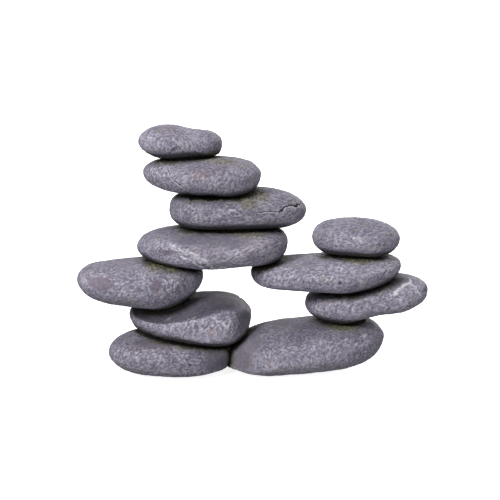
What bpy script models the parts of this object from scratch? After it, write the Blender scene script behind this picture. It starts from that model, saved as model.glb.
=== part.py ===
"""A free-standing arch of eleven stacked basalt pebbles, bedded in mortar and pinned with steel dowels.

Run it with blender --background --python part.py, or from Blender's text editor. The object's front
faces -Y, +X is to the right and +Z is up. The origin is on the ground, under the middle of the arch.
Lengths are written in millimetres and turned into metres by MM.
"""

import math
from dataclasses import dataclass

import bmesh
import bpy
import numpy as np
from mathutils import Matrix, Vector

MM = 0.001

# Clearances
GAP = 0.3  # between any two neighbouring solids
BED = 1.2  # from stone to stone, across a mortar bed

# Dowels
DOWEL_RADIUS = 1.5
DOWEL_LENGTH = 15.0
DOWEL_CHAMFER = 0.3
DOWEL_END_GAP = 0.5  # the hole is this much deeper than the dowel at each end

# Pebbles
MERIDIANS = 32  # points round a pebble's outline
RINGS = 16  # from its front to its back
SQUARENESS = 2.3  # exponent of a pebble's cross-section: 2 is an ellipse
CURVE_STEPS = 16  # samples between two outline points

# Mortar
BED_THICKNESS = 11.0  # of a dab before the stones squeeze it
BED_SEGMENTS = 24

GROUND_SIZE = (320.0, 160.0, 20.0)

STEEL = (0.56, 0.57, 0.58)
MORTAR = (0.028, 0.028, 0.020)


@dataclass
class Pebble:
    """One stone.

    outline is its edge seen from the front, as (x, z) points from the right-hand tip, over the top
    to the left-hand tip, and back underneath. width is its size from front to back and shift is how
    far behind the arch's middle plane it sits. egg makes its right-hand half wider (or, if negative,
    narrower) when seen from above, and yaw turns it about its own vertical, in degrees.
    """

    outline: list
    width: float
    shift: float
    egg: float
    yaw: float
    colour: tuple


@dataclass
class Bond:
    """Where one pebble is bedded on another.

    at is the middle of the bed as (x, z), tilt is how far the bed's normal leans from vertical
    towards +X, in degrees, and reach is the bed's half length and half width.
    """

    upper: str
    lower: str
    at: tuple
    tilt: float
    reach: tuple
    dowel: bool = True


PEBBLES = {
    "left_cap_stone": Pebble(
        outline=[
            (-18.5, 139.5), (-21, 143), (-28.5, 146), (-38.5, 147.5), (-49.5, 149), (-58.5, 148),
            (-65, 144.5), (-67.5, 140), (-65.5, 135.5), (-58.5, 131), (-49, 129), (-35, 129),
            (-23, 130), (-19, 134.5),
        ],
        width=35, shift=-1, egg=-0.10, yaw=6, colour=(0.33, 0.30, 0.37),
    ),
    "left_neck_stone": Pebble(
        outline=[
            (4.5, 120), (2.5, 124.5), (-2.5, 128), (-13, 130), (-29, 130.5), (-47, 129.5), (-57.5, 128),
            (-63.5, 125), (-65, 121), (-62, 116), (-52.5, 111.5), (-39, 109), (-23, 108.5), (-8, 108.5),
            (1, 112),
        ],
        width=49, shift=-3, egg=0.08, yaw=-5, colour=(0.27, 0.25, 0.30),
    ),
    "left_shoulder_stone": Pebble(
        outline=[
            (31.5, 97.5), (29.5, 102.5), (23, 107), (12.5, 110), (-5, 111), (-26, 110), (-40.5, 108),
            (-48, 105.5), (-50, 98.5), (-47.5, 92), (-38.5, 88), (-20, 87), (1, 87), (18, 88),
            (28, 91.5),
        ],
        width=54, shift=3, egg=-0.06, yaw=4, colour=(0.26, 0.24, 0.30),
    ),
    "bridge_stone": Pebble(
        outline=[
            (20.5, 78.5), (19, 84), (13, 87), (-11, 88), (-35, 88), (-53, 87), (-63.5, 84), (-68.5, 80),
            (-69, 75), (-62.5, 69.5), (-50, 66.5), (-37, 65), (-22, 64.5), (-5, 66.5), (9, 68),
            (17, 71),
        ],
        width=60, shift=-1.5, egg=0.06, yaw=-3, colour=(0.27, 0.25, 0.30),
    ),
    "left_wing_stone": Pebble(
        outline=[
            (-30.5, 56.5), (-31.5, 62.5), (-40.5, 67), (-56, 69), (-74, 68.5), (-89.5, 67), (-99.5, 65),
            (-105, 60), (-104.5, 54.5), (-99, 48.5), (-89, 44.5), (-74, 42), (-57, 40), (-44.5, 42.5),
            (-35, 49),
        ],
        width=54, shift=-3, egg=-0.08, yaw=6, colour=(0.29, 0.26, 0.31),
    ),
    "left_knee_stone": Pebble(
        outline=[
            (-1.5, 31), (-2.5, 37.5), (-9, 43.5), (-20, 46), (-35, 45.5), (-53, 42), (-67, 40),
            (-74, 37.5), (-75.5, 32.5), (-71.5, 26), (-62.5, 19.5), (-47, 17.5), (-29, 16), (-14, 16.5),
            (-5, 21.5),
        ],
        width=55, shift=3, egg=0.10, yaw=-6, colour=(0.24, 0.22, 0.27),
    ),
    "left_foot_stone": Pebble(
        outline=[
            (-14, 10.5), (-16, 15.5), (-29, 18.5), (-44, 21), (-59, 23.5), (-71, 24), (-81, 21),
            (-86.5, 16), (-87, 10.5), (-82, 5), (-71, 1), (-57, -0.6), (-44, -1), (-29, -0.6),
            (-17.5, 1.2),
        ],
        width=54, shift=-4, egg=0.05, yaw=3, colour=(0.24, 0.22, 0.26),
    ),
    "right_cap_stone": Pebble(
        outline=[
            (87.5, 81), (85, 86.5), (76.5, 91), (64, 93), (51, 92.5), (40.5, 90), (35.5, 84.5),
            (36.5, 78), (42.5, 73), (54, 71), (65, 70.5), (76, 71), (84, 75),
        ],
        width=41, shift=0, egg=0.06, yaw=-8, colour=(0.31, 0.28, 0.34),
    ),
    "right_span_stone": Pebble(
        outline=[
            (87.5, 63), (87, 68.5), (77.5, 71), (58, 71.5), (40, 70.5), (19, 69.5), (6, 68),
            (-0.5, 64.5), (-1, 59), (4, 54), (19, 52), (37, 51), (55, 50), (67.5, 52), (81, 57),
        ],
        width=55, shift=-2, egg=0.12, yaw=3, colour=(0.31, 0.28, 0.34),
    ),
    "right_wing_stone": Pebble(
        outline=[
            (105.5, 49), (103.5, 54), (96.5, 57.5), (86, 58.5), (71, 55), (55, 51), (41.5, 48.5),
            (34, 45.5), (31.5, 41), (33.5, 35.5), (41.5, 31), (53, 29), (64, 31.5), (79, 36), (93, 38),
            (102, 43),
        ],
        width=49, shift=2, egg=-0.10, yaw=-7, colour=(0.25, 0.23, 0.28),
    ),
    "right_foot_stone": Pebble(
        outline=[
            (79.5, 19.5), (77, 25.5), (69, 30), (49, 30.5), (28, 29), (11, 27), (-3, 23), (-11.5, 16.5),
            (-16, 8.5), (-15.5, 1.5), (-6.5, -0.8), (13, -1), (37, 0.5), (58, 3), (73, 9),
        ],
        width=62, shift=1, egg=-0.05, yaw=3, colour=(0.23, 0.21, 0.26),
    ),
}

BONDS = {
    "left_cap": Bond("left_cap_stone", "left_neck_stone", (-39.5, 130.5), 0, (16.5, 12)),
    "left_neck": Bond("left_neck_stone", "left_shoulder_stone", (-20, 111), 0, (24, 16)),
    "left_shoulder": Bond("left_shoulder_stone", "bridge_stone", (-13, 88.5), 0, (28, 18)),
    "bridge_left": Bond("bridge_stone", "left_wing_stone", (-48, 68), 8, (16, 16)),
    "bridge_right": Bond("bridge_stone", "right_span_stone", (8.5, 68.5), -12, (9.5, 13)),
    "left_wing": Bond("left_wing_stone", "left_knee_stone", (-54, 42), -8, (19, 16)),
    "left_knee": Bond("left_knee_stone", "left_foot_stone", (-43, 21), 9, (23, 16)),
    "knee_to_foot": Bond("left_knee_stone", "right_foot_stone", (-7.5, 20), -38, (6, 12), dowel=False),
    "feet": Bond("left_foot_stone", "right_foot_stone", (-14.5, 9), 90, (7, 13)),
    "right_cap": Bond("right_cap_stone", "right_span_stone", (62.5, 71.5), 0, (18, 13)),
    "right_span": Bond("right_span_stone", "right_wing_stone", (58, 52), -13, (22, 15)),
    "right_wing": Bond("right_wing_stone", "right_foot_stone", (54, 30.5), 0, (17, 15)),
}

STONE_ON_GROUND = ("left_foot_stone", "right_foot_stone")


def clear_scene():
    for item in list(bpy.data.objects):
        bpy.data.objects.remove(item)


def new_collection(name):
    made = bpy.data.collections.new(name)
    bpy.context.scene.collection.children.link(made)
    return made


def new_material(name, colour, roughness, metallic=0.0):
    material = bpy.data.materials.new(name)
    material.use_nodes = True
    shader = material.node_tree.nodes["Principled BSDF"]
    shader.inputs["Base Color"].default_value = (*colour, 1.0)
    shader.inputs["Roughness"].default_value = roughness
    shader.inputs["Metallic"].default_value = metallic
    return material


def new_object(name, mesh, collection, material=None):
    made = bpy.data.objects.new(name, mesh)
    collection.objects.link(made)
    if material:
        mesh.materials.append(material)
    return made


def new_cutter(name, mesh, collection):
    cutter = new_object(name, mesh, collection)
    cutter.hide_render = True
    cutter.display_type = "WIRE"
    return cutter


def cut(target, cutter):
    modifier = target.modifiers.new("cut by " + cutter.name, "BOOLEAN")
    modifier.operation = "DIFFERENCE"
    modifier.object = cutter


def closed_curve(points, count):
    """count points along the smooth closed curve (Catmull-Rom) through points, closer where it turns."""
    here = np.array(points, float)[:, None]
    before, after, beyond = (np.roll(here, step, axis=0) for step in (1, -1, -2))
    t = np.linspace(0, 1, CURVE_STEPS, endpoint=False)[None, :, None]
    curve = 0.5 * (
        2 * here
        + (after - before) * t
        + (2 * before - 5 * here + 4 * after - beyond) * t**2
        + (3 * here - before - 3 * after + beyond) * t**3
    ).reshape(-1, 2)
    steps = np.roll(curve, -1, axis=0) - curve
    lengths = np.linalg.norm(steps, axis=1)
    headings = np.arctan2(steps[:, 1], steps[:, 0])
    turns = np.abs(np.remainder(np.roll(headings, -1) - headings + math.pi, math.tau) - math.pi)
    shares = lengths / lengths.sum() + turns / turns.sum()
    along = np.concatenate([[0], np.cumsum(shares)])
    wanted = np.linspace(0, along[-1], count, endpoint=False)
    closed = np.vstack([curve, curve[:1]])
    return np.column_stack([np.interp(wanted, along, closed[:, axis]) for axis in (0, 1)])


def squared(share):
    """A sine or cosine bent so that an ellipse becomes a superellipse of exponent SQUARENESS."""
    return math.copysign(abs(share) ** (2 / SQUARENESS), share)


def pebble_centre(pebble):
    """Halfway between the outline's extremes, as (x, z)."""
    outline = np.array(pebble.outline, float)
    return (outline.min(axis=0) + outline.max(axis=0)) / 2


def pebble_mesh(name, pebble):
    """A unit sphere with its poles to the front and back, each ring stretched onto a scaled outline."""
    centre = pebble_centre(pebble)
    edge = closed_curve(pebble.outline, MERIDIANS) - centre
    half_length = np.abs(edge[:, 0]).max()
    solid = bmesh.new()
    bmesh.ops.create_uvsphere(solid, u_segments=MERIDIANS, v_segments=RINGS, radius=1)
    bmesh.ops.rotate(solid, verts=solid.verts, matrix=Matrix.Rotation(math.radians(90), 3, "X"))
    for vertex in solid.verts:
        x, y, z = vertex.co
        meridian = round(math.atan2(z, x) / math.tau * MERIDIANS) % MERIDIANS
        across = squared(min(1.0, math.hypot(x, z)))
        px, pz = across * edge[meridian]
        py = pebble.width / 2 * squared(y) * (1 + pebble.egg * px / half_length)
        vertex.co = Vector((px, py, pz)) * MM
    bmesh.ops.recalc_face_normals(solid, faces=solid.faces)
    mesh = bpy.data.meshes.new(name)
    solid.to_mesh(mesh)
    solid.free()
    mesh.shade_smooth()
    return mesh


def add_pebble(name, pebble, collection):
    material = new_material(name + "_basalt", pebble.colour, roughness=0.85)
    stone = new_object(name, pebble_mesh(name, pebble), collection, material)
    x, z = pebble_centre(pebble)
    stone.location = Vector((x, pebble.shift, z)) * MM
    stone.rotation_euler.z = math.radians(pebble.yaw)
    return stone


def grown_copy(stone, margin, collection):
    """A cutter in the shape of a pebble before it is cut, larger by margin all round."""
    mesh = stone.data.copy()
    mesh.materials.clear()
    for vertex in mesh.vertices:
        vertex.co += vertex.normal * margin * MM
    cutter = new_cutter(f"{stone.name}_grown_{margin:.1f}", mesh, collection)
    cutter.location = stone.location
    cutter.rotation_euler = stone.rotation_euler
    return cutter


def place_at_bond(item, bond):
    """Puts item at the bond, between its two pebbles, with its own Z along the bed's normal."""
    middle = (PEBBLES[bond.upper].shift + PEBBLES[bond.lower].shift) / 2
    item.location = Vector((bond.at[0], middle, bond.at[1])) * MM
    item.rotation_euler.y = math.radians(bond.tilt)


def cylinder_mesh(name, radius, length, segments=16):
    solid = bmesh.new()
    bmesh.ops.create_cone(
        solid,
        cap_ends=True,
        segments=segments,
        radius1=radius * MM,
        radius2=radius * MM,
        depth=length * MM,
    )
    mesh = bpy.data.meshes.new(name)
    solid.to_mesh(mesh)
    solid.free()
    mesh.shade_smooth()
    mesh.set_sharp_from_angle(angle=math.radians(40))
    return mesh


def add_dowel(name, bond, collection):
    material = new_material(name + "_steel", STEEL, roughness=0.3, metallic=1.0)
    dowel = new_object(name, cylinder_mesh(name, DOWEL_RADIUS, DOWEL_LENGTH), collection, material)
    place_at_bond(dowel, bond)
    chamfer = dowel.modifiers.new("chamfer", "BEVEL")
    chamfer.width = DOWEL_CHAMFER * MM
    chamfer.segments = 1
    return dowel


def drill(name, bond, targets, collection):
    """The hole that a dowel is glued into, through the bed and into both pebbles."""
    mesh = cylinder_mesh(name, DOWEL_RADIUS + GAP, DOWEL_LENGTH + 2 * DOWEL_END_GAP)
    hole = new_cutter(name, mesh, collection)
    place_at_bond(hole, bond)
    for target in targets:
        cut(target, hole)


def dab_mesh(name, bond):
    """Mortar as it is put down: a flattened ball, before the stones shape it."""
    solid = bmesh.new()
    bmesh.ops.create_uvsphere(solid, u_segments=BED_SEGMENTS, v_segments=BED_SEGMENTS // 2, radius=1)
    half_length, half_width = bond.reach
    size = Vector((half_length, half_width, BED_THICKNESS / 2)) * MM
    bmesh.ops.scale(solid, vec=size, verts=solid.verts)
    mesh = bpy.data.meshes.new(name)
    solid.to_mesh(mesh)
    solid.free()
    mesh.shade_smooth()
    return mesh


def add_bed(name, bond, stones, collection, cutters):
    """The mortar between two pebbles: a dab with both stones, and their clearance, cut out of it."""
    material = new_material(name + "_mortar", MORTAR, roughness=0.95)
    bed = new_object(name, dab_mesh(name, bond), collection, material)
    place_at_bond(bed, bond)
    upper, lower = stones[bond.upper], stones[bond.lower]
    cut(bed, grown_copy(lower, GAP, cutters))
    above = grown_copy(upper, GAP, cutters)
    cut(above, grown_copy(lower, BED - GAP, cutters))
    cut(bed, above)
    return bed


def main():
    clear_scene()
    parts = new_collection("stone_arch")
    cutters = new_collection("cutters")

    stones = {name: add_pebble(name, pebble, parts) for name, pebble in PEBBLES.items()}

    ground_mesh = bpy.data.meshes.new("ground")
    box = bmesh.new()
    bmesh.ops.create_cube(box, size=MM)
    bmesh.ops.scale(box, vec=GROUND_SIZE, verts=box.verts)
    bmesh.ops.translate(box, vec=(0, 0, -GROUND_SIZE[2] / 2 * MM), verts=box.verts)
    box.to_mesh(ground_mesh)
    box.free()
    ground = new_cutter("ground", ground_mesh, cutters)
    for name in STONE_ON_GROUND:
        cut(stones[name], ground)

    for name, bond in BONDS.items():
        cut(stones[bond.upper], grown_copy(stones[bond.lower], BED, cutters))
        bed = add_bed(name + "_bed", bond, stones, parts, cutters)
        if bond.dowel:
            add_dowel(name + "_dowel", bond, parts)
            drill(name + "_hole", bond, (stones[bond.upper], stones[bond.lower], bed), cutters)


if __name__ == "__main__":
    main()
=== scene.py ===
"""The looks of the stone arch: weathered basalt pebbles, dark mortar in the seams, a pale studio.

Each pebble is skinned anew from its CAD solid as a dense, smooth shell. The shell is then given worn flats,
lumps, pits, cracks and chips as real relief, and a procedural basalt.
Lengths are in metres, or in millimetres times MM. Colours are linear red, green and blue.
"""

import math
from dataclasses import dataclass, field

import bmesh
import bpy
import numpy as np
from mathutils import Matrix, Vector
from mathutils.bvhtree import BVHTree


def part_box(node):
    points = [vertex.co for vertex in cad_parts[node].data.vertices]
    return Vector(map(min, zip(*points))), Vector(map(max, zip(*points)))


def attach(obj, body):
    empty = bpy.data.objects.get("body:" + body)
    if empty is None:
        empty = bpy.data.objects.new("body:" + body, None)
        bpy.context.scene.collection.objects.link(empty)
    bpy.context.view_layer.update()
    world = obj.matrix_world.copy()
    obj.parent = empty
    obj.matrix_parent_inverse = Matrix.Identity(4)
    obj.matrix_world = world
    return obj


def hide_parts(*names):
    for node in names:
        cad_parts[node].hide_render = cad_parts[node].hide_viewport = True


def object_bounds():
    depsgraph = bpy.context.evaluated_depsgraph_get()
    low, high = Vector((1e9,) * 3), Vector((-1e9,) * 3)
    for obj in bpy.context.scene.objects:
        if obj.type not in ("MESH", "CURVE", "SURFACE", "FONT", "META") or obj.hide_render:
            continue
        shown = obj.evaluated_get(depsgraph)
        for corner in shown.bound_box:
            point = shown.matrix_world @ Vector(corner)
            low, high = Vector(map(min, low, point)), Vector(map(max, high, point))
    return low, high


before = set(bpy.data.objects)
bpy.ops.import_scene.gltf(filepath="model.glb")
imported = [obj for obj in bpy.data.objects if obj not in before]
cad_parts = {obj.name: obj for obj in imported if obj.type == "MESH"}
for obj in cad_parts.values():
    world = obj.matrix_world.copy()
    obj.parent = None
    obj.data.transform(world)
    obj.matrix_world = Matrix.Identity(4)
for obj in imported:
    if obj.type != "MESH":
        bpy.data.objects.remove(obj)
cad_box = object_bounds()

MM = 0.001
GRID = 128  # quads along each side of the cube that a pebble's skin is rolled from


# ---------------------------------------------------------------------------------------------------------
# Noise
# ---------------------------------------------------------------------------------------------------------

TABLE_SIZE = 256  # a power of two, so that "& (TABLE_SIZE - 1)" wraps a cell's number round the table
SEED_SHIFT = 17.31  # how far apart the noises of two seeds lie, in wavelengths
NOISE_GAIN = 1.6  # brings the noise to about -1 to 1


def gradient_table(seed):
    """A shuffled order of the table's entries, and a direction at random for each."""
    rng = np.random.default_rng(seed)
    table = rng.normal(size=(TABLE_SIZE, 3))
    table /= np.linalg.norm(table, axis=1)[:, None]
    return rng.permutation(TABLE_SIZE), table


PERMUTATION, GRADIENTS = gradient_table(11)


def noise(points, wavelength, seed=0):
    """Perlin noise, about -1 to 1, at points (n, 3), with bumps about wavelength apart."""
    scaled = points / wavelength + SEED_SHIFT * seed
    cell = np.floor(scaled).astype(np.int64)
    inside = scaled - cell
    fade = inside * inside * inside * (inside * (inside * 6 - 15) + 10)
    wrap = TABLE_SIZE - 1
    total = np.zeros(len(points))
    for dx in (0, 1):
        wx = fade[:, 0] if dx else 1 - fade[:, 0]
        for dy in (0, 1):
            wy = fade[:, 1] if dy else 1 - fade[:, 1]
            for dz in (0, 1):
                wz = fade[:, 2] if dz else 1 - fade[:, 2]
                entry = PERMUTATION[(cell[:, 0] + dx) & wrap]
                entry = PERMUTATION[(entry + cell[:, 1] + dy) & wrap]
                gradient = GRADIENTS[PERMUTATION[(entry + cell[:, 2] + dz) & wrap]]
                offset = inside - (dx, dy, dz)
                total += wx * wy * wz * np.einsum("ij,ij->i", gradient, offset)
    return total * NOISE_GAIN


def fractal(points, wavelength, octaves, seed=0):
    """Noise with ever finer octaves on top, each half as strong as the last."""
    total, weight = 0.0, 0.0
    for octave in range(octaves):
        share = 0.5**octave
        total = total + share * noise(points, wavelength / 2**octave, seed + octave)
        weight += share
    return total / weight


def ramp(value, low, high):
    """0 below low, 1 above high, smooth between. low may be above high, which turns it round."""
    t = np.clip((value - low) / (high - low), 0, 1)
    return t * t * (3 - 2 * t)


# ---------------------------------------------------------------------------------------------------------
# Meshes and objects
# ---------------------------------------------------------------------------------------------------------

def fetched(items, name, width, kind=np.float32):
    """One property of all of a mesh's items, as an array with a row for each item."""
    values = np.empty(len(items) * width, kind)
    items.foreach_get(name, values)
    return values.reshape(-1, width)


def move_points(mesh, points):
    mesh.vertices.foreach_set("co", points.astype(np.float32).ravel())
    mesh.update()


def point_normals(mesh):
    return fetched(mesh.vertex_normals, "vector", 3).astype(float)


def add_object(name, data):
    thing = bpy.data.objects.new(name, data)
    bpy.context.scene.collection.objects.link(thing)
    return thing


# ---------------------------------------------------------------------------------------------------------
# Skins: smooth dense shells over the CAD solids
# ---------------------------------------------------------------------------------------------------------

WELD = 0.001 * MM
CREASE = math.radians(38)
HOLE_RADIUS = 1.9 * MM  # takes in a dowel's hole and its rim
HOLE_REACH = 9 * MM  # from the middle of a dowel to past the end of its hole
RAY_START = 0.2  # farther from a stone's middle than any of its points
HOLE_ROUNDS = 250  # of smoothing, enough to draw a fair cap over a dowel's hole
SKIN_ROUNDS = 6  # of smoothing, enough to lose the CAD solid's facets


def ball_template(grid):
    """A cube of grid x grid quads a side, rolled out onto a unit sphere: its points, its mesh, and each
    point's four neighbours. The cube's corners have three, so one of those counts twice. The points that
    the mesh itself has are still the cube's."""
    bm = bmesh.new()
    bmesh.ops.create_cube(bm, size=2)
    bmesh.ops.subdivide_edges(bm, edges=bm.edges, cuts=grid - 1, use_grid_fill=True)
    mesh = bpy.data.meshes.new("ball")
    bm.to_mesh(mesh)
    bm.free()
    count = len(mesh.vertices)
    rolled = np.tan(fetched(mesh.vertices, "co", 3).astype(float) * math.pi / 4)
    rolled /= np.linalg.norm(rolled, axis=1)[:, None]
    edges = fetched(mesh.edges, "vertices", 2, np.int32)
    ends = np.concatenate([edges, edges[:, ::-1]])
    ends = ends[np.argsort(ends[:, 0], kind="stable")]
    first = np.searchsorted(ends[:, 0], np.arange(count))
    degree = np.bincount(ends[:, 0], minlength=count)
    pick = first[:, None] + np.minimum(np.arange(4), degree[:, None] - 1)
    return rolled, mesh, ends[pick, 1]


def welded(node):
    """A CAD node's points and triangles, with the points that its faces share joined."""
    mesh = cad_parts[node].data
    mesh.calc_loop_triangles()
    places = fetched(mesh.vertices, "co", 3)
    tri = fetched(mesh.loop_triangles, "vertices", 3, np.int32)
    _, first, index = np.unique(np.round(places / WELD), axis=0, return_index=True, return_inverse=True)
    tri = index.reshape(-1)[tri]
    whole = (tri[:, 0] != tri[:, 1]) & (tri[:, 1] != tri[:, 2]) & (tri[:, 2] != tri[:, 0])
    return places[first].astype(float), tri[whole]


def crease_normals(points, tri, angle):
    """A normal for each corner of each triangle, shared only across edges that turn by less than angle."""
    mesh = bpy.data.meshes.new("creases")
    mesh.from_pydata(points.tolist(), [], tri.tolist())
    mesh.shade_smooth()
    mesh.set_sharp_from_angle(angle=angle)
    normals = fetched(mesh.corner_normals, "vector", 3)
    bpy.data.meshes.remove(mesh)
    return normals.reshape(-1, 3, 3).astype(float)


def curved_points(corners, normals, weights):
    """Points on the curved (PN) triangles through corners (n, 3, 3) with those corner normals."""
    p, n = corners, normals
    w, u, v = weights.T[:, :, None]

    def edge(i, j):
        lift = np.einsum("ij,ij->i", p[:, j] - p[:, i], n[:, i])[:, None]
        return (2 * p[:, i] + p[:, j] - lift * n[:, i]) / 3

    e = {(i, j): edge(i, j) for i in range(3) for j in range(3) if i != j}
    mean_edge = sum(e.values()) / 6
    middle = mean_edge + (mean_edge - p.mean(axis=1)) / 2
    return (
        p[:, 0] * w**3 + p[:, 1] * u**3 + p[:, 2] * v**3
        + 3 * (e[0, 1] * w * w * u + e[1, 0] * w * u * u + e[0, 2] * w * w * v)
        + 3 * (e[1, 2] * u * u * v + e[2, 0] * w * v * v + e[2, 1] * u * v * v)
        + 6 * middle * w * u * v
    )


def barycentric(p, corners):
    """How much of each corner of its triangle there is in each point of p."""
    a, b, c = corners[:, 0], corners[:, 1], corners[:, 2]
    ab, ac, ap = b - a, c - a, p - a
    d00, d01, d11 = (np.einsum("ij,ij->i", q, r) for q, r in ((ab, ab), (ab, ac), (ac, ac)))
    d20, d21 = (np.einsum("ij,ij->i", ap, q) for q in (ab, ac))
    whole = np.maximum(d00 * d11 - d01 * d01, 1e-30)  # never 0, not even in a sliver
    u = (d11 * d20 - d01 * d21) / whole
    v = (d00 * d21 - d01 * d20) / whole
    weights = np.clip(np.column_stack([1 - u - v, u, v]), 0, 1)
    return weights / weights.sum(axis=1)[:, None]


def dowel_lines():
    """Middle and direction of each dowel."""
    lines = []
    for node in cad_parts:
        if node.endswith("_dowel"):
            points, _ = welded(node)
            middle = points.mean(axis=0)
            _, _, axes = np.linalg.svd(points - middle)
            lines.append((middle, axes[0]))
    return lines


def in_dowel_hole(points, lines):
    found = np.zeros(len(points), bool)
    for middle, axis in lines:
        offset = points - middle
        along = offset @ axis
        off = np.linalg.norm(offset - along[:, None] * axis, axis=1)
        found |= (off < HOLE_RADIUS) & (np.abs(along) < HOLE_REACH)
    return found


def smoothed(points, neighbours, rounds, only=None):
    """Points drawn to the mean of their neighbours: all of them halfway, or only some, all the way."""
    points = points.copy()
    for _ in range(rounds):
        if only is None:
            points = 0.5 * points + 0.5 * points[neighbours].mean(axis=1)
        else:
            points[only] = points[neighbours[only]].mean(axis=1)
    return points


def skin_points(node, directions, neighbours, lines):
    """The CAD solid of a node as one smooth shell, its dowel holes closed."""
    points, tri = welded(node)
    normals = crease_normals(points, tri, CREASE)
    hole_tri = in_dowel_hole(points, lines)[tri].all(axis=1)
    tree = BVHTree.FromPolygons(points.tolist(), tri.tolist())
    low, high = points.min(axis=0), points.max(axis=0)
    centre = (low + high) / 2
    rays = directions * (high - low)
    rays /= np.linalg.norm(rays, axis=1)[:, None]
    starts = centre + rays * RAY_START
    hits = np.empty((len(rays), 3))
    faces = np.empty(len(rays), int)
    for i, (start, ray) in enumerate(zip(starts.tolist(), (-rays).tolist())):
        hits[i], _, faces[i], _ = tree.ray_cast(start, ray)
    corners = points[tri[faces]]
    skin = curved_points(corners, normals[faces], barycentric(hits, corners))
    hole = hole_tri[faces]
    if hole.any():
        skin = smoothed(skin, neighbours, HOLE_ROUNDS, only=np.nonzero(hole)[0])
    return smoothed(skin, neighbours, SKIN_ROUNDS)


# ---------------------------------------------------------------------------------------------------------
# What makes each pebble its own
# ---------------------------------------------------------------------------------------------------------

@dataclass
class Look:
    """What sets one pebble apart. Lengths are in mm, and a place is a share (across, up) of its box.

    slot: its material slot, not used. light: how light its stone is. lean: the way its strokes run, in
    degrees up from the right. top: how dark and smooth its upward side is. crust: how much pale crust it
    has.
    faces: worn flats (outward direction, depth). swells: (place, reach, height), a hollow if negative.

    These lie on its front. breaks: (line, depth, width, paleness, darkness, jag), where rock has flaked off
    to the right of the line as it is walked, with a pale edge that is partly a painted highlight, or a dark
    crack of painted shade. veins: (line, strength), thin, raised and pale. eyes: (middle, half length, half
    height), smooth spots that the strokes run round. pale, smooth, moss, tan and mauve patches, and patches
    of painted shadow, are given likewise; the painted shadow is as dark as a seam's dirt and painted shade.
    pits: (middle, radius).
    """

    slot: str
    light: float
    lean: float = 50
    top: float = 0.4
    crust: float = 1.0
    faces: list = field(default_factory=list)
    swells: list = field(default_factory=list)
    breaks: list = field(default_factory=list)
    veins: list = field(default_factory=list)
    eyes: list = field(default_factory=list)
    pale: list = field(default_factory=list)
    smooth: list = field(default_factory=list)
    moss: list = field(default_factory=list)
    # patches of painted shadow, as dark as a seam
    painted_shadow: list = field(default_factory=list)
    tan: list = field(default_factory=list)
    mauve: list = field(default_factory=list)
    pits: list = field(default_factory=list)


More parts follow.
